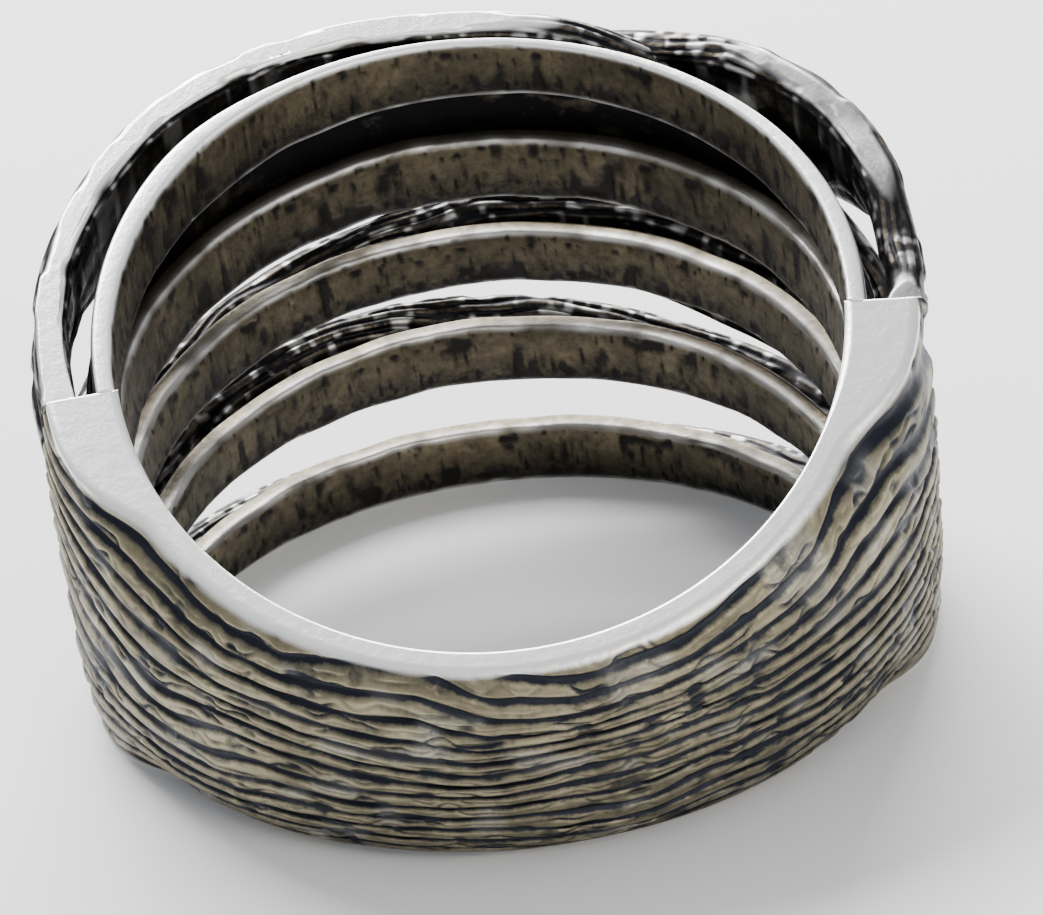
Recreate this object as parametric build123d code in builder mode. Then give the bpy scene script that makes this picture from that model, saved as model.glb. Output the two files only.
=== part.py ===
from build123d import *
import os
from math import sin, cos, radians, atan, pi

# ---------------------------------------------------------------- dimensions
BORE_R = 9.0            # finger bore radius (18 mm inside diameter)
RIM_SLOPE = 0.2455      # rim height gained per mm across the finger, each rim
SIDE_H = 10.9           # band height at the two shoulders
RAIL_T = 0.70           # radial thickness of the inner rails
RAIL_ROUND = 0.20       # rounding of the long rail edges
SHANK_ROUND = 0.62      # rounding of the outer shank edges
SLOT_L = 184.0          # left end of the open front, degrees
SLOT_R = -4.0           # right end of the open front, degrees
GROOVE_R = 0.13         # radius of the carved bark grooves
OUT_Y = -2.19             # shift that centres the ring on the origin

# every rail: height of its upper and lower edge at the shoulder (mm) and the
# extra height at the front (mm), both measured along the bore
RAILS = {
    1: (0.00, 2.2095, -1.55, 1.80),
    2: (-1.72, 0.42, -3.75, 0.50),
    3: (-4.42, 0.02, -6.15, 0.03),
    4: (-7.55, -0.08, -8.75, -0.80),
    5: (-9.50, -1.75, -10.90, -2.2095),
}
PALM_T = 1.38           # shank thickness at the palm side
SHOULDER_T = 2.15       # shank thickness at the two shoulders
# outer wall of the uppermost rail: angle, thickness
HOOP_WALL = [(184, 0.62), (170, 0.68), (150, 0.74), (136, 0.72), (118, 0.46),
             (100, 0.34), (80, 0.32), (60, 0.34), (45, 0.42), (29, 0.55),
             (12, 0.62), (-4, 0.58)]

# ---------------------------------------------------------------- placement
beta = atan(RIM_SLOPE)
sb, cb = sin(beta), cos(beta)
LIFT = SIDE_H * cb      # the lower rim rests on Z = 0
origin = Vector(0, OUT_Y, LIFT)
bore_plane = Plane(origin=origin, x_dir=(1, 0, 0), z_dir=(0, -sb, cb))
side_plane = Plane(origin=origin, x_dir=(0, cb, sb), z_dir=(1, 0, 0))


def at(theta, r, z):
    """Point given as angle, radius and height along the bore."""
    x = r * cos(radians(theta))
    y = r * sin(radians(theta))
    return (x, OUT_Y + y * cb - z * sb, LIFT + y * sb + z * cb)


def flat(theta, r):
    """Point of a sketch drawn across the bore."""
    return (r * cos(radians(theta)), r * sin(radians(theta)))


def around(theta, sign=1):
    """Direction along the band at an angle."""
    x = -sin(radians(theta)) * sign
    y = cos(radians(theta)) * sign
    return (x, y * cb, y * sb)


def rim(theta, r):
    return RIM_SLOPE * r * sin(radians(theta))


HALF = 14.0
# circle through the three outer points of the shank wall
near_y = -(BORE_R + PALM_T)
end_x, end_y = flat(356, BORE_R + SHOULDER_T)
wall_c = (end_x**2 + end_y**2 - near_y**2) / (2 * (end_y - near_y))
wall_r = wall_c - near_y
os.makedirs("parts", exist_ok=True)

# ---------------------------------------------------------------- shank
with BuildPart() as shank:
    with BuildSketch(bore_plane.offset(-18)):
        with BuildLine():
            a = ThreePointArc(flat(184, BORE_R), flat(270, BORE_R), flat(356, BORE_R))
            o = ThreePointArc(flat(184, BORE_R + SHOULDER_T), flat(270, BORE_R + PALM_T),
                              flat(356, BORE_R + SHOULDER_T))
            Line(a @ 0, o @ 0)
            Line(a @ 1, o @ 1)
        make_face()
    extrude(amount=24)
    with BuildSketch(side_plane):
        with BuildLine():
            Polyline((-HALF, -RIM_SLOPE * HALF), (HALF, RIM_SLOPE * HALF),
                     (HALF, -SIDE_H - RIM_SLOPE * HALF),
                     (-HALF, -SIDE_H + RIM_SLOPE * HALF), close=True)
        make_face()
    extrude(amount=HALF, both=True, mode=Mode.INTERSECT)
    outer = shank.edges().filter_by(
        lambda e: e.length > 14 and abs(bore_plane.to_local_coords(e @ 0.5).Y) > BORE_R + 0.5)
    fillet(outer, SHANK_ROUND)
    # wavy bark grooves along the palm side
    for k in range(8):
        v = 0.14 + 0.103 * k
        pts = []
        for i, t in enumerate([190, 200, 214, 230, 247, 264, 281, 298, 314, 329, 341, 350]):
            r = wall_c * sin(radians(t)) + (wall_r**2 - (wall_c * cos(radians(t)))**2)**0.5 + 0.05
            h = SIDE_H + 2 * rim(t, r)
            wave = 0.10 * sin(1.9 * i + 1.7 * k) + 0.05 * sin(3.1 * i + 0.9 * k * k)
            pts.append(at(t, r, rim(t, r) - v * h + wave))
        with BuildLine() as run:
            Spline(*pts)
        with BuildSketch(Plane(origin=run.line @ 0, z_dir=run.line % 0)):
            Circle(GROOVE_R + 0.03 * (k % 3))
        sweep(path=run.line, mode=Mode.SUBTRACT)
shank.part.label = "shank"

# ---------------------------------------------------------------- inner rails
with BuildPart() as inner_rail_1:
    with BuildSketch(bore_plane.offset(-18)):
        with BuildLine():
            a = ThreePointArc(flat(184, BORE_R), flat(90, BORE_R), flat(-4, BORE_R))
            o = Spline(*[flat(t, BORE_R + w) for t, w in HOOP_WALL])
            Line(a @ 0, o @ 0)
            Line(a @ 1, o @ 1)
        make_face()
    extrude(amount=24)
    t0, b0, t1, b1 = RAILS[1]
    with BuildSketch(side_plane):
        with BuildLine():
            Polyline((-HALF, t0 - HALF * b0 / 9), (HALF, t0 + HALF * b0 / 9),
                     (HALF, t1 + HALF * b1 / 9), (-HALF, t1 - HALF * b1 / 9), close=True)
        make_face()
    extrude(amount=HALF, both=True, mode=Mode.INTERSECT)
inner_rail_1.part.label = "inner_rail_1"

with BuildPart() as inner_rail_2:
    with BuildSketch(bore_plane.offset(-18)):
        with BuildLine():
            a = ThreePointArc(flat(184, BORE_R), flat(90, BORE_R), flat(-4, BORE_R))
            o = ThreePointArc(flat(184, BORE_R + RAIL_T), flat(90, BORE_R + RAIL_T), flat(-4, BORE_R + RAIL_T))
            Line(a @ 0, o @ 0)
            Line(a @ 1, o @ 1)
        make_face()
    extrude(amount=24)
    t0, b0, t1, b1 = RAILS[2]
    with BuildSketch(side_plane):
        with BuildLine():
            Polyline((-HALF, t0 - HALF * b0 / 9), (HALF, t0 + HALF * b0 / 9),
                     (HALF, t1 + HALF * b1 / 9), (-HALF, t1 - HALF * b1 / 9), close=True)
        make_face()
    extrude(amount=HALF, both=True, mode=Mode.INTERSECT)
    fillet(inner_rail_2.edges().filter_by(lambda e: e.length > 14), RAIL_ROUND)
inner_rail_2.part.label = "inner_rail_2"

with BuildPart() as inner_rail_3:
    with BuildSketch(bore_plane.offset(-18)):
        with BuildLine():
            a = ThreePointArc(flat(184, BORE_R), flat(90, BORE_R), flat(-4, BORE_R))
            o = ThreePointArc(flat(184, BORE_R + RAIL_T), flat(90, BORE_R + RAIL_T), flat(-4, BORE_R + RAIL_T))
            Line(a @ 0, o @ 0)
            Line(a @ 1, o @ 1)
        make_face()
    extrude(amount=24)
    t0, b0, t1, b1 = RAILS[3]
    with BuildSketch(side_plane):
        with BuildLine():
            Polyline((-HALF, t0 - HALF * b0 / 9), (HALF, t0 + HALF * b0 / 9),
                     (HALF, t1 + HALF * b1 / 9), (-HALF, t1 - HALF * b1 / 9), close=True)
        make_face()
    extrude(amount=HALF, both=True, mode=Mode.INTERSECT)
    fillet(inner_rail_3.edges().filter_by(lambda e: e.length > 14), RAIL_ROUND)
inner_rail_3.part.label = "inner_rail_3"

with BuildPart() as inner_rail_4:
    with BuildSketch(bore_plane.offset(-18)):
        with BuildLine():
            a = ThreePointArc(flat(184, BORE_R), flat(90, BORE_R), flat(-4, BORE_R))
            o = ThreePointArc(flat(184, BORE_R + RAIL_T), flat(90, BORE_R + RAIL_T), flat(-4, BORE_R + RAIL_T))
            Line(a @ 0, o @ 0)
            Line(a @ 1, o @ 1)
        make_face()
    extrude(amount=24)
    t0, b0, t1, b1 = RAILS[4]
    with BuildSketch(side_plane):
        with BuildLine():
            Polyline((-HALF, t0 - HALF * b0 / 9), (HALF, t0 + HALF * b0 / 9),
                     (HALF, t1 + HALF * b1 / 9), (-HALF, t1 - HALF * b1 / 9), close=True)
        make_face()
    extrude(amount=HALF, both=True, mode=Mode.INTERSECT)
    fillet(inner_rail_4.edges().filter_by(lambda e: e.length > 14), RAIL_ROUND)
inner_rail_4.part.label = "inner_rail_4"

with BuildPart() as inner_rail_5:
    with BuildSketch(bore_plane.offset(-18)):
        with BuildLine():
            a = ThreePointArc(flat(184, BORE_R), flat(90, BORE_R), flat(-4, BORE_R))
            o = ThreePointArc(flat(184, BORE_R + RAIL_T), flat(90, BORE_R + RAIL_T), flat(-4, BORE_R + RAIL_T))
            Line(a @ 0, o @ 0)
            Line(a @ 1, o @ 1)
        make_face()
    extrude(amount=24)
    t0, b0, t1, b1 = RAILS[5]
    with BuildSketch(side_plane):
        with BuildLine():
            Polyline((-HALF, t0 - HALF * b0 / 9), (HALF, t0 + HALF * b0 / 9),
                     (HALF, t1 + HALF * b1 / 9), (-HALF, t1 - HALF * b1 / 9), close=True)
        make_face()
    extrude(amount=HALF, both=True, mode=Mode.INTERSECT)
inner_rail_5.part.label = "inner_rail_5"

# ---------------------------------------------------------------- front strands
# centre lines: angle, radius beyond the bore, height along the bore
R = BORE_R
CREST = [(184, 1.45, -0.48), (164, 1.80, rim(164, R + 1.8) - 0.42), (149, 1.82, rim(149, R + 1.8) - 0.42),
         (131, 1.70, rim(131, R + 1.7) - 0.40), (118, 1.45, rim(118, R + 1.4) - 0.40),
         (105, 1.14, rim(105, R + 1.1) - 0.38), (92, 0.93, rim(92, R + 0.9) - 0.40),
         (80, 0.90, rim(80, R + 0.9) - 0.46), (69, 0.94, rim(69, R + 0.9) - 0.66),
         (58, 1.08, 0.85), (45, 1.25, -0.45), (30, 1.45, -1.85), (14, 1.55, -2.75), (-4, 1.50, -3.05)]
BRANCH = [(184, 1.45, -4.05), (168, 1.55, -4.00), (150, 1.60, -3.80), (130, 1.55, -3.40), (112, 1.46, -2.75),
          (96, 1.46, -1.75), (82, 1.44, -0.45), (70, 1.40, 0.60), (60, 1.42, rim(60, R + 1.4) - 1.05),
          (50, 1.62, rim(50, R + 1.6) - 0.62), (40, 1.88, rim(40, R + 1.9) - 0.45),
          (29, 2.02, rim(29, R + 2) - 0.42), (18, 1.92, rim(18, R + 1.9) - 0.42),
          (6, 1.66, -0.36), (-4, 1.50, -0.55)]
VINE = [(184, 1.50, -1.85), (172, 1.86, -1.45), (158, 2.12, -1.00), (144, 2.30, -0.90),
        (130, 2.52, -1.38), (117, 2.72, -2.35), (104, 2.80, -3.55), (92, 2.74, -4.75),
        (80, 2.34, -5.80), (68, 1.90, -6.60), (55, 1.66, -7.05), (40, 1.60, -7.15),
        (22, 1.60, -7.20), (8, 1.55, -7.35), (-4, 1.45, -7.40)]
TWIG = [(184, 1.45, -6.55), (168, 1.60, -6.70), (150, 1.62, -6.45), (132, 1.50, -5.85), (118, 1.42, -5.45),
        (100, 1.38, -5.00), (82, 1.36, -4.62), (62, 1.42, -4.55), (42, 1.52, -4.80), (20, 1.60, -5.10),
        (-4, 1.50, -5.20)]
BOUGH = [(184, 1.45, -8.50), (165, 1.60, -8.40), (145, 1.62, -8.25), (124, 1.56, -8.15), (104, 1.50, -8.22),
         (89, 1.48, -8.45), (72, 1.48, -8.78), (58, 1.52, -9.05), (40, 1.60, -9.10), (20, 1.58, -8.92),
         (-4, 1.45, -8.70)]
ROOT = [(184, 1.42, -10.35), (165, 1.50, None), (145, 1.52, None), (125, 1.46, None), (105, 1.42, None),
        (85, 1.42, None), (65, 1.44, None), (45, 1.52, None), (25, 1.52, None), (-4, 1.42, -10.35)]
ROOT = [(t, w, -SIDE_H - rim(t, R + w) + 0.56) for t, w, z in ROOT]

with BuildPart() as crest_strand:
    with BuildLine() as run:
        Spline(*[at(t, R + w, z) for t, w, z in CREST], tangents=[around(184, -1), around(-4, -1)])
    with BuildSketch(Plane(origin=run.line @ 0, x_dir=(0, -sb, cb), z_dir=around(184, -1))):
        Ellipse(0.50, 0.46)
    sweep(path=run.line)
    with BuildSketch(side_plane):
        with BuildLine():
            Polyline((-HALF, -RIM_SLOPE * HALF), (HALF, RIM_SLOPE * HALF), (HALF, 9), (-HALF, 9), close=True)
        make_face()
    extrude(amount=HALF, both=True, mode=Mode.SUBTRACT)
crest_strand.part.label = "crest_strand"

with BuildPart() as branch_strand:
    with BuildLine() as run:
        Spline(*[at(t, R + w, z) for t, w, z in BRANCH], tangents=[around(184, -1), around(-4, -1)])
    with BuildSketch(Plane(origin=run.line @ 0, x_dir=(0, -sb, cb), z_dir=around(184, -1))):
        Ellipse(0.55, 0.50)
    sweep(path=run.line)
    with BuildSketch(side_plane):
        with BuildLine():
            Polyline((-HALF, -RIM_SLOPE * HALF), (HALF, RIM_SLOPE * HALF), (HALF, 9), (-HALF, 9), close=True)
        make_face()
    extrude(amount=HALF, both=True, mode=Mode.SUBTRACT)
    add(crest_strand.part, mode=Mode.SUBTRACT)
branch_strand.part.label = "branch_strand"

with BuildPart() as twig_strand:
    with BuildLine() as run:
        Spline(*[at(t, R + w, z) for t, w, z in TWIG], tangents=[around(184, -1), around(-4, -1)])
    with BuildSketch(Plane(origin=run.line @ 0, x_dir=(0, -sb, cb), z_dir=around(184, -1))):
        Ellipse(0.62, 0.58)
    sweep(path=run.line)
twig_strand.part.label = "twig_strand"

with BuildPart() as bough_strand:
    with BuildLine() as run:
        Spline(*[at(t, R + w, z) for t, w, z in BOUGH], tangents=[around(184, -1), around(-4, -1)])
    with BuildSketch(Plane(origin=run.line @ 0, x_dir=(0, -sb, cb), z_dir=around(184, -1))):
        Ellipse(0.66, 0.60)
    sweep(path=run.line)
bough_strand.part.label = "bough_strand"

with BuildPart() as vine_strand:
    with BuildLine() as run:
        Spline(*[at(t, R + w, z) for t, w, z in VINE], tangents=[around(184, -1), around(-4, -1)])
    with BuildSketch(Plane(origin=run.line @ 0, x_dir=(0, -sb, cb), z_dir=around(184, -1))):
        Ellipse(0.60, 0.54)
    sweep(path=run.line)
vine_strand.part.label = "vine_strand"

with BuildPart() as root_strand:
    with BuildLine() as run:
        Spline(*[at(t, R + w, z) for t, w, z in ROOT], tangents=[around(184, -1), around(-4, -1)])
    with BuildSketch(Plane(origin=run.line @ 0, x_dir=(0, -sb, cb), z_dir=around(184, -1))):
        Ellipse(0.52, 0.56)
    sweep(path=run.line)
    with BuildSketch(side_plane):
        with BuildLine():
            Polyline((-HALF, -SIDE_H + RIM_SLOPE * HALF), (HALF, -SIDE_H - RIM_SLOPE * HALF),
                     (HALF, -SIDE_H - 9), (-HALF, -SIDE_H - 9), close=True)
        make_face()
    extrude(amount=HALF, both=True, mode=Mode.SUBTRACT)
root_strand.part.label = "root_strand"

# ---------------------------------------------------------------- web behind the top slot
with BuildPart() as slot_web:
    with BuildSketch(bore_plane.offset(-18)):
        with BuildLine():
            a = ThreePointArc(flat(184, BORE_R + 0.72), flat(90, BORE_R + 0.72), flat(-4, BORE_R + 0.72))
            o = ThreePointArc(flat(184, BORE_R + 0.90), flat(90, BORE_R + 0.90), flat(-4, BORE_R + 0.90))
            Line(a @ 0, o @ 0)
            Line(a @ 1, o @ 1)
        make_face()
    extrude(amount=24)
    with BuildSketch(side_plane):
        with BuildLine():
            Polyline((-HALF, -1.10 - HALF * 0.13), (HALF, -1.10 + HALF * 0.13),
                     (HALF, -2.50 + HALF * 0.05), (-HALF, -2.50 - HALF * 0.05), close=True)
        make_face()
    extrude(amount=HALF, both=True, mode=Mode.INTERSECT)
    add(crest_strand.part, mode=Mode.SUBTRACT)
slot_web.part.label = "slot_web"

# ---------------------------------------------------------------- export
export_step(shank.part, "parts/shank.step")
export_step(inner_rail_1.part, "parts/inner_rail_1.step")
export_step(inner_rail_2.part, "parts/inner_rail_2.step")
export_step(inner_rail_3.part, "parts/inner_rail_3.step")
export_step(inner_rail_4.part, "parts/inner_rail_4.step")
export_step(inner_rail_5.part, "parts/inner_rail_5.step")
export_step(crest_strand.part, "parts/crest_strand.step")
export_step(branch_strand.part, "parts/branch_strand.step")
export_step(twig_strand.part, "parts/twig_strand.step")
export_step(bough_strand.part, "parts/bough_strand.step")
export_step(vine_strand.part, "parts/vine_strand.step")
export_step(root_strand.part, "parts/root_strand.step")
export_step(slot_web.part, "parts/slot_web.step")
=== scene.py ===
import bpy
import numpy as np
from math import radians, atan, sin, cos
from mathutils import Matrix, Vector


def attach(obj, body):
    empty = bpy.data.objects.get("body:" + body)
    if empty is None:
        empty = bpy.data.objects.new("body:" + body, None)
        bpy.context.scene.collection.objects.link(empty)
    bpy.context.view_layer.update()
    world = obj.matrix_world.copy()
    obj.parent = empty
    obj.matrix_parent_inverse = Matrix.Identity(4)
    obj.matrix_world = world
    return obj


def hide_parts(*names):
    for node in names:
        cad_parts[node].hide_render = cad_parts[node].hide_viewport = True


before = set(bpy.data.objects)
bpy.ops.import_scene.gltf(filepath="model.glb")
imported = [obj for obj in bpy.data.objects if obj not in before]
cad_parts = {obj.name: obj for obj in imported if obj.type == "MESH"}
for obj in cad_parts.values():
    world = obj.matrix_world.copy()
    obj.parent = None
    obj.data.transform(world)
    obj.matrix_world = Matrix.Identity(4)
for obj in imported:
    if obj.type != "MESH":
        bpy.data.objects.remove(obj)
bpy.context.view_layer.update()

# ------------------------------------------------------------ shared frame
SLOPE = 0.2455
SIDE_H = 10.9
R = 9.0
OUT_Y = -2.19
beta = atan(SLOPE)
sb, cb = sin(beta), cos(beta)
LIFT = SIDE_H * cb


def place(x, y, z):
    return np.stack([x, OUT_Y + y * cb - z * sb, LIFT + y * sb + z * cb], -1) / 1000.0


def rim(t, r):
    return SLOPE * r * np.sin(t)


def wave(t):
    return 0.24 * np.cos(2 * t) - 0.05 * np.sin(2 * t) + 0.05 * np.cos(3 * t) + 0.05 * np.sin(3 * t)


def smooth(e0, e1, x):
    u = np.clip((x - e0) / (e1 - e0), 0, 1)
    return u * u * (3 - 2 * u)


def noise(u, v, seed, shape=(257, 257)):
    """Seeded smooth noise in -1..1 over a wrapped grid."""
    g = np.random.default_rng(seed).uniform(-1, 1, shape)
    iu, iv = np.floor(u).astype(int), np.floor(v).astype(int)
    fu, fv = u - iu, v - iv
    fu, fv = fu * fu * (3 - 2 * fu), fv * fv * (3 - 2 * fv)
    a, b = shape
    g00, g10 = g[iu % a, iv % b], g[(iu + 1) % a, iv % b]
    g01, g11 = g[iu % a, (iv + 1) % b], g[(iu + 1) % a, (iv + 1) % b]
    return (g00 * (1 - fu) + g10 * fu) * (1 - fv) + (g01 * (1 - fu) + g11 * fu) * fv


def interp(t, keys, col):
    """Smooth curve through keys (angle in degrees, values...)."""
    k = sorted(keys, key=lambda q: q[0])
    x = np.array([q[0] for q in k], float)
    y = np.array([q[col] for q in k], float)
    m = np.gradient(y, x)
    td = np.degrees(t)
    i = np.clip(np.searchsorted(x, td) - 1, 0, len(x) - 2)
    h = x[i + 1] - x[i]
    s = np.clip((td - x[i]) / h, 0, 1)
    return ((2 * s**3 - 3 * s**2 + 1) * y[i] + (s**3 - 2 * s**2 + s) * h * m[i]
            + (-2 * s**3 + 3 * s**2) * y[i + 1] + (s**3 - s**2) * h * m[i + 1])


def grid_mesh(name, co, closed_v, caps, oxide_and_shade, pol, mat, node):
    n, m = co.shape[:2]
    verts = co.reshape(-1, 3)
    i = np.arange(n - 1)[:, None]
    j = np.arange(m if closed_v else m - 1)[None, :]
    j2 = (j + 1) % m
    faces = np.stack([i * m + j, i * m + j2, (i + 1) * m + j2, (i + 1) * m + j], -1).reshape(-1, 4).tolist()
    if caps:
        faces.append(list(range(m - 1, -1, -1)))
        faces.append([(n - 1) * m + k for k in range(m)])
    me = bpy.data.meshes.new(name)
    me.from_pydata(verts.tolist(), [], faces)
    for nm, arr in (("oxide_and_shade", oxide_and_shade), ("pol", pol)):
        at = me.attributes.new(nm, "FLOAT", "POINT")
        at.data.foreach_set("value", np.clip(arr, 0, 1).astype(np.float32).ravel())
    me.polygons.foreach_set("use_smooth", [True] * len(me.polygons))
    me.materials.append(mat)
    me.update()
    ob = bpy.data.objects.new(name, me)
    bpy.context.scene.collection.objects.link(ob)
    import bmesh
    bm = bmesh.new()
    bm.from_mesh(me)
    bmesh.ops.recalc_face_normals(bm, faces=bm.faces)
    bm.to_mesh(me)
    bm.free()
    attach(ob, "root")
    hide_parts(node)
    return ob


# ------------------------------------------------------------ materials
def silver(name, ridge, mid, pit, scale, rough):
    mat = bpy.data.materials.new(name)
    mat.use_nodes = True
    nt = mat.node_tree
    N, L = nt.nodes, nt.links
    bs = N["Principled BSDF"]
    bs.inputs["Metallic"].default_value = 0.92
    tc = N.new("ShaderNodeTexCoord")
    ac = N.new("ShaderNodeAttribute"); ac.attribute_name = "oxide_and_shade"
    ap = N.new("ShaderNodeAttribute"); ap.attribute_name = "pol"
    n1 = N.new("ShaderNodeTexNoise"); n1.inputs["Scale"].default_value = scale
    n1.inputs["Detail"].default_value = 8.0; n1.inputs["Roughness"].default_value = 0.62
    L.new(tc.outputs["Object"], n1.inputs["Vector"])
    n2 = N.new("ShaderNodeTexNoise"); n2.inputs["Scale"].default_value = scale * 5.5
    n2.inputs["Detail"].default_value = 6.0; n2.inputs["Roughness"].default_value = 0.7
    L.new(tc.outputs["Object"], n2.inputs["Vector"])
    r1 = N.new("ShaderNodeValToRGB")
    r1.color_ramp.elements[0].position = 0.36; r1.color_ramp.elements[0].color = (*mid, 1)
    r1.color_ramp.elements[1].position = 0.64; r1.color_ramp.elements[1].color = (*ridge, 1)
    L.new(n1.outputs["Fac"], r1.inputs["Fac"])
    # oxide gathers in the hollows and darkens towards the pit colour; on the rails the same mask also carries painted
    # shade on their lower halves. Both are broken up by fine noise
    add = N.new("ShaderNodeMath"); add.operation = "MULTIPLY_ADD"
    L.new(n2.outputs["Fac"], add.inputs[0]); add.inputs[1].default_value = 0.55
    L.new(ac.outputs["Fac"], add.inputs[2])
    r2 = N.new("ShaderNodeValToRGB")
    r2.color_ramp.elements[0].position = 0.36; r2.color_ramp.elements[0].color = (0, 0, 0, 1)
    r2.color_ramp.elements[1].position = 0.66; r2.color_ramp.elements[1].color = (1, 1, 1, 1)
    L.new(add.outputs[0], r2.inputs["Fac"])
    m1 = N.new("ShaderNodeMix"); m1.data_type = "RGBA"
    L.new(r2.outputs["Color"], m1.inputs["Factor"]); L.new(r1.outputs["Color"], m1.inputs["A"])
    m1.inputs["B"].default_value = (*pit, 1)
    m2 = N.new("ShaderNodeMix"); m2.data_type = "RGBA"
    L.new(ap.outputs["Fac"], m2.inputs["Factor"]); L.new(m1.outputs["Result"], m2.inputs["A"])
    m2.inputs["B"].default_value = (0.97, 0.965, 0.95, 1)
    L.new(m2.outputs["Result"], bs.inputs["Base Color"])
    rr = N.new("ShaderNodeMapRange")
    L.new(n2.outputs["Fac"], rr.inputs["Value"])
    rr.inputs["From Min"].default_value = 0.3; rr.inputs["From Max"].default_value = 0.7
    rr.inputs["To Min"].default_value = rough - 0.08; rr.inputs["To Max"].default_value = rough + 0.12
    m3 = N.new("ShaderNodeMix"); m3.data_type = "FLOAT"
    L.new(ap.outputs["Fac"], m3.inputs["Factor"]); L.new(rr.outputs["Result"], m3.inputs["A"])
    m3.inputs["B"].default_value = 0.34
    L.new(m3.outputs["Result"], bs.inputs["Roughness"])
    bp = N.new("ShaderNodeBump"); bp.inputs["Strength"].default_value = 0.35
    bp.inputs["Distance"].default_value = 0.00006
    L.new(n2.outputs["Fac"], bp.inputs["Height"]); L.new(bp.outputs["Normal"], bs.inputs["Normal"])
    return mat


bark = silver("bark_silver", (0.29, 0.255, 0.165), (0.135, 0.118, 0.075), (0.016, 0.018, 0.024), 420, 0.40)
rail = silver("rail_silver", (0.17, 0.14, 0.088), (0.085, 0.070, 0.046), (0.020, 0.018, 0.017), 700, 0.40)
twig = silver("twig_silver", (0.22, 0.18, 0.125), (0.07, 0.055, 0.04), (0.008, 0.008, 0.010), 600, 0.40)

# ------------------------------------------------------------ palm band
PALM_T, SHOULDER_T = 1.38, 2.15
near_y = -(R + PALM_T)
ex, ey = (R + SHOULDER_T) * cos(radians(356)), (R + SHOULDER_T) * sin(radians(356))
wall_c = (ex**2 + ey**2 - near_y**2) / (2 * (ey - near_y))
wall_r = wall_c - near_y
n, m_in, m_flat, m_out = 820, 10, 8, 190
t = np.radians(np.linspace(184, 356, n))[:, None]
outer = wall_c * np.sin(t) + np.sqrt(wall_r**2 - (wall_c * np.cos(t))**2)
thick = outer - R
flat_w = 0.42 + 1.35 * smooth(0.87, 0.999, np.abs(np.cos(t)))
# section: inner wall upwards, upper flat, domed outer wall downwards, lower flat
s_in = np.linspace(1, 0, m_in, endpoint=False)[None, :]
u_top = np.linspace(0, 1, m_flat, endpoint=False)[None, :]
v = np.linspace(0, 1, m_out)[None, :]
u_bot = np.linspace(1, 0, m_flat + 1)[1:-1][None, :]
dome = 1 - np.abs(2 * v - 1) ** 3.2
dome = np.clip(dome, 0, 1) ** 0.62
rr_ = np.concatenate([R + 0 * t + 0 * s_in, R + flat_w * u_top, R + flat_w + (thick - flat_w) * dome,
                      R + flat_w * u_bot], 1)
vv = np.concatenate([s_in + 0 * t, 0 * u_top + 0 * t, v + 0 * t, 1 + 0 * u_bot + 0 * t], 1)
is_out = np.concatenate([0 * s_in, 0 * u_top, 1 + 0 * v, 0 * u_bot], 1) * np.ones_like(t)
T = t + 0 * vv
deg = np.degrees(T)
near = np.sin(T - np.pi)  # 1 at the palm centre, 0 at the shoulders
# bark: bands that wander, merge and split
arc = (deg - 184) / 172
warp = (0.95 * noise(arc * 7, vv * 2.3, 11) + 0.55 * noise(arc * 17, vv * 4.5, 12)
        + 0.10 * noise(arc * 44, vv * 9, 13))
warp = warp * (0.30 + 0.55 * near)
count = 14.0
ph = vv * count + warp + 1.6 * (1 - near) * np.sin(vv * 5 + arc * 3)
d = np.abs(ph - np.round(ph))
band = np.round(ph)
wid = 0.10 + 0.15 * (noise(arc * 22, band * 3.7 + 5, 14) * 0.5 + 0.5) + 0.05 * (1 - near)
deep = 0.45 + 0.55 * (noise(arc * 30, band * 5.3 + 9, 15) * 0.5 + 0.5)
g1 = np.exp(-(d / wid) ** 2) * deep
ph2 = vv * 27 + 1.5 * warp + 0.8 * noise(arc * 60, vv * 8, 16)
d2 = np.abs(ph2 - np.round(ph2))
g2 = np.exp(-(d2 / 0.2) ** 2) * (0.2 + 0.6 * smooth(-0.1, 0.8, noise(arc * 38, np.round(ph2) * 2.9, 17)))
pits = smooth(0.35, 0.8, noise(arc * 55, vv * 22, 18)) * 0.7
groove = np.clip(np.maximum(g1, 0.62 * g2) + 0.35 * pits * (1 - g1), 0, 1)
edge = smooth(0.0, 0.035, vv) * smooth(0.0, 0.035, 1 - vv)
groove = groove * is_out * edge
rr2 = rr_ - 0.22 * groove * smooth(0, 1, thick + 0 * vv) + 0.0
h = SIDE_H + 2 * rim(T, rr2)
z = rim(T, rr2) + wave(T) * (1 - vv) * np.where(wave(T) > 0, 0.9, 1) - vv * h
x, y = rr2 * np.cos(T), rr2 * np.sin(T)
pol = np.concatenate([0 * s_in, 1 + 0 * u_top, smooth(0.022, 0.006, v) + 0.6 * smooth(0.985, 0.997, v), 0.7 + 0 * u_bot], 1) * np.ones_like(t)
pol = np.clip(pol + 0.10 * is_out * (1 - groove) * smooth(0.3, 0.8, noise(arc * 26, vv * 12, 19)), 0, 1)
oxide_and_shade = 0.06 + 0.85 * groove * is_out + 0.10 * (1 - is_out)
grid_mesh("palm_band", place(x, y, z), True, True, oxide_and_shade, pol, bark, "shank")

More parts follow.
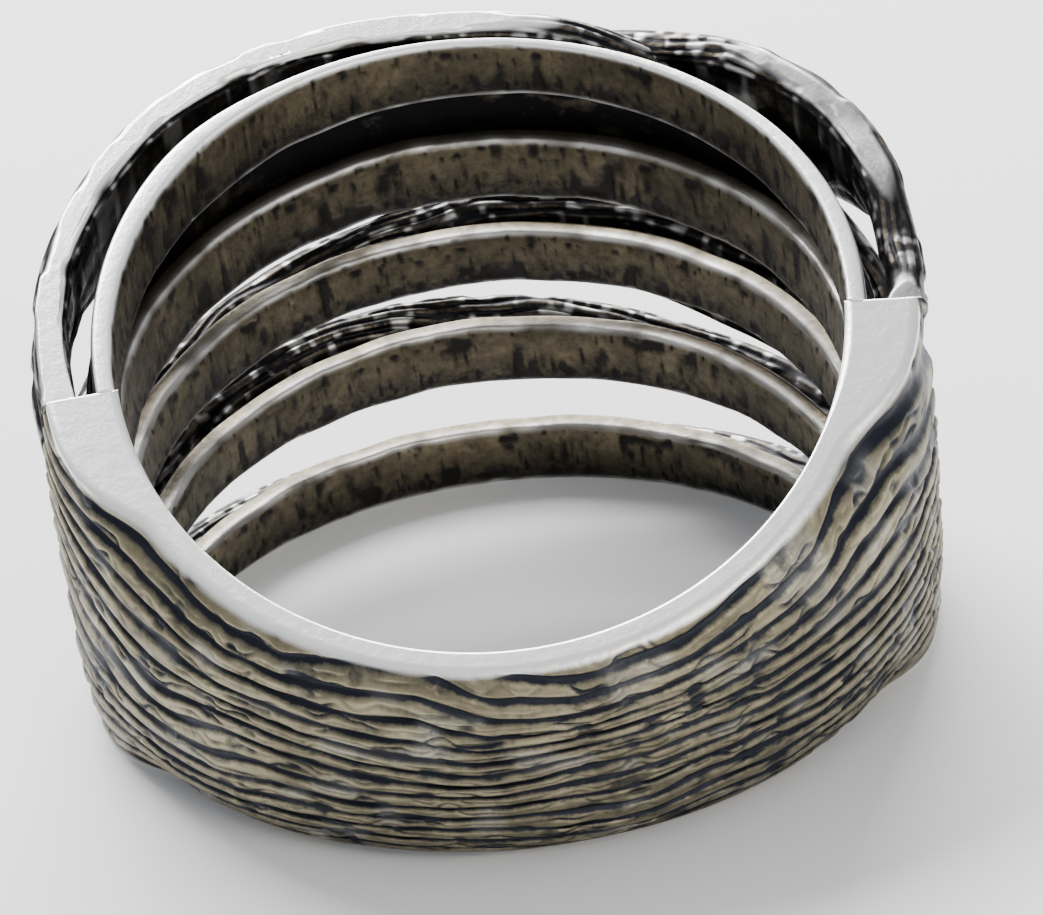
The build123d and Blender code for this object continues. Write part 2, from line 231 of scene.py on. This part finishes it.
# ------------------------------------------------------------ inner rails
RAILS = {1: (0.00, 2.2095, -1.55, 1.80), 2: (-1.72, 0.42, -3.75, 0.50), 3: (-4.42, 0.02, -6.15, 0.03),
         4: (-7.55, -0.08, -8.75, -0.80), 5: (-9.50, -1.75, -10.90, -2.2095)}
HOOP = [(184, 0.58), (170, 0.66), (150, 0.72), (136, 0.70), (118, 0.42), (100, 0.31), (80, 0.28), (60, 0.31),
        (45, 0.38), (29, 0.52), (12, 0.60), (-4, 0.56)]
m = 64
for k, (t0, b0, t1, b1) in RAILS.items():
    t = np.radians(np.linspace(184, -4, 620))[:, None]
    a = np.linspace(0, 2 * np.pi, m, endpoint=False)[None, :]
    ca, sa = np.cos(a), np.sin(a)
    # rounded box section; ca<0 is the finger side
    p = 0.42
    bx = np.sign(ca) * np.abs(ca) ** p
    bz = np.sign(sa) * np.abs(sa) ** p
    wt = (interp(t, HOOP, 1) if k == 1 else 0.66 + 0 * t)
    r = R + 0.01 + wt * (0.5 + 0.5 * bx)
    T = t + 0 * a
    top = t0 + b0 * np.sin(T) * (r / 9 if k in (1,) else 1)
    bot = t1 + b1 * np.sin(T) * (r / 9 if k in (5,) else 1)
    if k == 1:
        top = top + wave(T)
    vq = 0.5 - 0.5 * bz
    jitter = 0.05 * noise(np.degrees(T) / 7, 3.0 * k + 0 * T + vq * 1.2, 30 + k)
    z = top + (bot - top) * vq + jitter * (1 if k in (2, 3, 4) else (vq if k == 1 else 1 - vq))
    pit = smooth(0.25, 0.85, noise(np.degrees(T) / 2.1, vq * 5 + 3 * k, 40 + k))
    pit = np.maximum(pit, 0.8 * smooth(0.4, 0.85, noise(np.degrees(T) / 0.9, vq * 9 + k, 50 + k)))
    inner_side = smooth(0.1, -0.5, bx) * smooth(1.0, 0.8, np.abs(bz))
    r = r + 0.07 * inner_side * pit * 0.8
    # pits on the finger side hold oxide; the 0.22 term is painted shade that darkens each rail towards its bottom,
    # and the 0.3 term makes the back side facing the strands darker
    oxide_and_shade = 0.13 + 0.30 * pit * inner_side + 0.22 * smooth(0.35, 0.95, vq) + 0.3 * smooth(-0.2, 0.4, bx) * (1 - smooth(0.9, 1, np.abs(bz)))
    corner = smooth(0.80, 0.97, np.abs(bz)) * smooth(0.2, -0.6, bx)
    pol = 0.62 * corner * (0.6 + 0.4 * noise(np.degrees(T) / 3, 7.0 * k + 0 * T + 0 * a, 60 + k))
    if k == 1:
        pol = np.maximum(pol, smooth(0.86, 0.97, bz))
    grid_mesh("rail_%d" % k, place(r * np.cos(T), r * np.sin(T), z), True, True, oxide_and_shade, pol, rail,
              "inner_rail_%d" % k)


# ------------------------------------------------------------ web behind the top slot
t = np.radians(np.linspace(184, -4, 500))[:, None]
a = np.linspace(0, 2 * np.pi, 48, endpoint=False)[None, :]
bx = np.sign(np.cos(a)) * np.abs(np.cos(a)) ** 0.35
bz = np.sign(np.sin(a)) * np.abs(np.sin(a)) ** 0.35
T = t + 0 * a
lump = noise(np.degrees(T) / 3.5, bz * 3, 81) * 0.5 + 0.5
r = R + 0.81 + 0.09 * bx - 0.06 * (lump - 0.5) * (bx < 0)
top, bot = -1.10 + 1.17 * np.sin(T), -2.50 + 0.45 * np.sin(T)
z = top + (bot - top) * (0.5 - 0.5 * bz)
# the web is coloured dark almost all over, lighter only in patches on its lumps
grid_mesh("web", place(r * np.cos(T), r * np.sin(T), z), True, True, 0.55 - 0.4 * lump * smooth(0.35, 0.8, noise(np.degrees(T) / 6, bz * 2 + 4, 82) * 0.5 + 0.5), 0 * T, twig, "slot_web")

# ------------------------------------------------------------ front strands
def RM(deg_, w):
    return SLOPE * (R + w) * sin(radians(deg_))


CREST = [(184, 1.45, -0.48), (164, 1.80, RM(164, 1.8) - 0.42), (149, 1.82, RM(149, 1.8) - 0.42),
         (131, 1.70, RM(131, 1.7) - 0.40), (118, 1.45, RM(118, 1.4) - 0.40), (105, 1.14, RM(105, 1.1) - 0.38),
         (92, 0.93, RM(92, 0.9) - 0.40), (80, 0.90, RM(80, 0.9) - 0.46), (69, 0.94, RM(69, 0.9) - 0.66),
         (58, 1.08, 0.85), (45, 1.25, -0.45), (30, 1.45, -1.85), (14, 1.55, -2.75), (-4, 1.50, -3.05)]
BRANCH = [(184, 1.45, -4.05), (168, 1.55, -4.00), (150, 1.60, -3.80), (130, 1.55, -3.40), (112, 1.46, -2.75),
          (96, 1.46, -1.75), (82, 1.44, -0.45), (70, 1.40, 0.60), (60, 1.42, RM(60, 1.4) - 1.05),
          (50, 1.62, RM(50, 1.6) - 0.62), (40, 1.88, RM(40, 1.9) - 0.45), (29, 2.02, RM(29, 2) - 0.42),
          (18, 1.92, RM(18, 1.9) - 0.42), (6, 1.66, -0.36), (-4, 1.50, -0.55)]
VINE = [(184, 1.50, -1.85), (172, 1.86, -1.45), (158, 2.12, -1.00), (144, 2.30, -0.90), (130, 2.52, -1.38),
        (117, 2.72, -2.35), (104, 2.80, -3.55), (92, 2.74, -4.75), (80, 2.34, -5.80), (68, 1.90, -6.60),
        (55, 1.66, -7.05), (40, 1.60, -7.15), (22, 1.60, -7.20), (8, 1.55, -7.35), (-4, 1.45, -7.40)]
TWIG = [(184, 1.45, -6.55), (168, 1.60, -6.70), (150, 1.62, -6.45), (132, 1.50, -5.85), (118, 1.42, -5.45),
        (100, 1.38, -5.00), (82, 1.36, -4.62), (62, 1.42, -4.55), (42, 1.52, -4.80), (20, 1.60, -5.10),
        (-4, 1.50, -5.20)]
BOUGH = [(184, 1.45, -8.50), (165, 1.60, -8.40), (145, 1.62, -8.25), (124, 1.56, -8.15), (104, 1.50, -8.22),
         (89, 1.48, -8.45), (72, 1.48, -8.78), (58, 1.52, -9.05), (40, 1.60, -9.10), (20, 1.58, -8.92),
         (-4, 1.45, -8.70)]
ROOT = [(q, w, -SIDE_H - RM(q, w) + 0.56) for q, w in
        [(184, 1.42), (165, 1.50), (145, 1.52), (125, 1.46), (105, 1.42), (85, 1.42), (65, 1.44), (45, 1.52),
         (25, 1.52), (-4, 1.42)]]
STR = {"crest_strand": (CREST, 0.50, 0.46, 71), "branch_strand": (BRANCH, 0.50, 0.55, 72),
       "vine_strand": (VINE, 0.60, 0.54, 73), "twig_strand": (TWIG, 0.62, 0.58, 74),
       "bough_strand": (BOUGH, 0.66, 0.60, 75), "root_strand": (ROOT, 0.52, 0.56, 76)}
FLAP = {"branch_strand": [(-4, 0.5), (12, 0.8), (26, 2.3), (40, 3.4), (55, 3.5), (68, 2.7), (82, 2.0), (96, 1.2),
                         (112, 0.7), (130, 0.6), (150, 0.6), (184, 0.5)],
        "crest_strand": [(-4, 0.5), (30, 0.5), (60, 0.6), (75, 0.9), (90, 1.5), (105, 2.2), (120, 2.9), (135, 3.0),
                         (150, 2.6), (165, 1.6), (176, 0.8), (184, 0.5)]}
for name, (keys, rz, rx, seed) in STR.items():
    t = np.radians(np.linspace(184, -4, 700))
    rc, zc = R + interp(t, keys, 1), interp(t, keys, 2)
    c = np.stack([rc * np.cos(t), rc * np.sin(t), zc], -1)
    tan = np.gradient(c, axis=0)
    tan[0] = (sin(radians(184)), -cos(radians(184)), 0); tan[-1] = (sin(radians(-4)), -cos(radians(-4)), 0)
    tan /= np.linalg.norm(tan, axis=1)[:, None]
    rad = np.stack([np.cos(t), np.sin(t), 0 * t], -1)
    rad -= (rad * tan).sum(1)[:, None] * tan
    rad /= np.linalg.norm(rad, axis=1)[:, None]
    up = np.cross(rad, tan)
    up *= np.sign(up[:, 2])[:, None]
    a = np.linspace(0, 2 * np.pi, 72, endpoint=False)[None, :]
    T = t[:, None] + 0 * a
    ring = a / (2 * np.pi)
    # lumpy bark that runs along the strand with a slight twist
    q = np.abs(ring - 0.5) * 2
    tw = q * 6 + 0.6 * noise(np.degrees(T) / 8, q * 3, seed)
    ridge = np.abs(tw - np.round(tw))
    groove = np.exp(-(ridge / 0.17) ** 2) * (0.4 + 0.6 * (noise(np.degrees(T) / 5, np.round(tw) * 3 + 9, seed + 20) * 0.5 + 0.5))
    knob = smooth(0.1, 0.8, noise(np.degrees(T) / 4.5, q * 3 + 11, seed + 40))
    fade = smooth(0, 0.05, (t - t[-1]))[:, None] * smooth(0, 0.05, (t[0] - t))[:, None]
    scale = 1 - (0.16 * groove + 0.16 * knob * (1 - groove)) * fade
    if name in FLAP:
        low = interp(t, FLAP[name], 1)[:, None]
        sn = np.sin(a)
        extra = np.where(sn < 0, low - rz, 0) * np.clip(-sn, 0, 1)
        narrow = 1 - 0.45 * np.clip(extra / 3.0, 0, 1)
    else:
        extra, narrow = 0 * T, 1 + 0 * T
    off = (rad[:, None, :] * (rx * np.cos(a) * narrow)[..., None] + up[:, None, :] * (rz * np.sin(a))[..., None]) * scale[..., None]
    P = c[:, None, :] + off
    P[..., 2] -= extra
    r = np.hypot(P[..., 0], P[..., 1])
    th = np.arctan2(P[..., 1], P[..., 0])
    pol = 0 * r
    if name in ("crest_strand", "branch_strand"):
        lid = SLOPE * P[..., 1]
        hit = P[..., 2] > lid - 0.16
        lim = np.minimum(P[..., 2], lid - 0.0)
        flat_top = lid - 0.02
        P[..., 2] = np.where(P[..., 2] > flat_top, flat_top, P[..., 2])
        near_top = smooth(-1.6, -0.2, P[..., 2] - lid)
        P[..., 2] += wave(th) * near_top * np.where(wave(th) > 0, 0.9, 1)
        worn = smooth(-0.14, -0.05, (P[..., 2] - wave(th) * near_top) - lid)
        if name == "crest_strand":
            pol = np.maximum(pol, worn)
        else:
            pol = np.maximum(pol, 0.62 * worn * (0.55 + 0.45 * noise(np.degrees(T) / 2.4, q * 3, 91)))
    if name == "root_strand":
        lo = -SIDE_H - SLOPE * P[..., 1]
        P[..., 2] = np.maximum(P[..., 2], lo + 0.01)
    oxide_and_shade = 0.30 + 0.6 * groove * fade
    high = smooth(0.5, 1.0, 1 - knob) * (1 - groove) * smooth(0.55, 0.95, noise(np.degrees(T) / 1.3, q * 9, seed + 60) * 0.5 + 0.5)
    pol = np.maximum(pol, 0.45 * high)
    grid_mesh(name.replace("strand", "vine_form"), place(P[..., 0], P[..., 1], P[..., 2]), True, True, oxide_and_shade, pol, twig,
              name)

# ------------------------------------------------------------ camera
D, E = 150.0, 0.702223168
PAN, TILT, ROLL, F = -0.00446353642, -0.0215209027, 0.117227325, 6091.32966


def rot(vec, axis, ang):
    return Matrix.Rotation(ang, 3, axis) @ vec


Cp = Vector((0, -D * cos(E), D * sin(E)))
fw = -Cp.normalized()
right = Vector((1, 0, 0))
up_ = right.cross(fw)
fw2, r2 = rot(fw, up_, PAN), rot(right, up_, PAN)
fw3, u3 = rot(fw2, r2, TILT), rot(up_, r2, TILT)
r4, u4 = rot(r2, fw3, ROLL), rot(u3, fw3, ROLL)


def turn(q):
    return Vector((q.x, q.y * cb - q.z * sb, q.y * sb + q.z * cb))


cam_d = bpy.data.cameras.new("camera")
cam = bpy.data.objects.new("camera", cam_d)
bpy.context.scene.collection.objects.link(cam)
cam_d.lens = F / 1043 * 36
cam_d.sensor_width = 36
cam_d.clip_start, cam_d.clip_end = 0.01, 5
pos = place(np.float64(Cp.x), np.float64(Cp.y), np.float64(Cp.z))
rx_, ux_, fx_ = turn(r4), turn(u4), turn(fw3)
M = Matrix.Identity(4)
for i in range(3):
    M[i][0], M[i][1], M[i][2], M[i][3] = rx_[i], ux_[i], -fx_[i], pos[i]
cam.matrix_world = M
bpy.context.scene.camera = cam

# ------------------------------------------------------------ floor and light
bpy.ops.mesh.primitive_plane_add(size=1.2, location=(0, 0, 0))
floor = bpy.context.object
floor.name = "paper"
fm = bpy.data.materials.new("paper_white")
fm.use_nodes = True
fb = fm.node_tree.nodes["Principled BSDF"]
fb.inputs["Base Color"].default_value = (0.86, 0.86, 0.87, 1)
fb.inputs["Roughness"].default_value = 0.9
floor.data.materials.append(fm)
world = bpy.data.worlds.new("studio")
bpy.context.scene.world = world
world.use_nodes = True
world.node_tree.nodes["Background"].inputs["Color"].default_value = (0.92, 0.95, 1.0, 1)
world.node_tree.nodes["Background"].inputs["Strength"].default_value = 0.80


def softbox(name, loc, target, size, watts, colour=(1, 1, 1)):
    ld = bpy.data.lights.new(name, "AREA")
    ld.energy, ld.size, ld.color = watts, size, colour
    lo = bpy.data.objects.new(name, ld)
    bpy.context.scene.collection.objects.link(lo)
    lo.location = loc
    lo.rotation_euler = (Vector(target) - Vector(loc)).to_track_quat("-Z", "Y").to_euler()


softbox("key", (-0.10, 0.16, 0.22), (0, 0, 0.008), 0.14, 1.45)
softbox("top", (0.02, 0.22, 0.14), (0, 0, 0.012), 0.16, 1.25)
softbox("fill", (0.12, -0.20, 0.16), (0, 0, 0.005), 0.12, 0.30, (1, 0.97, 0.9))
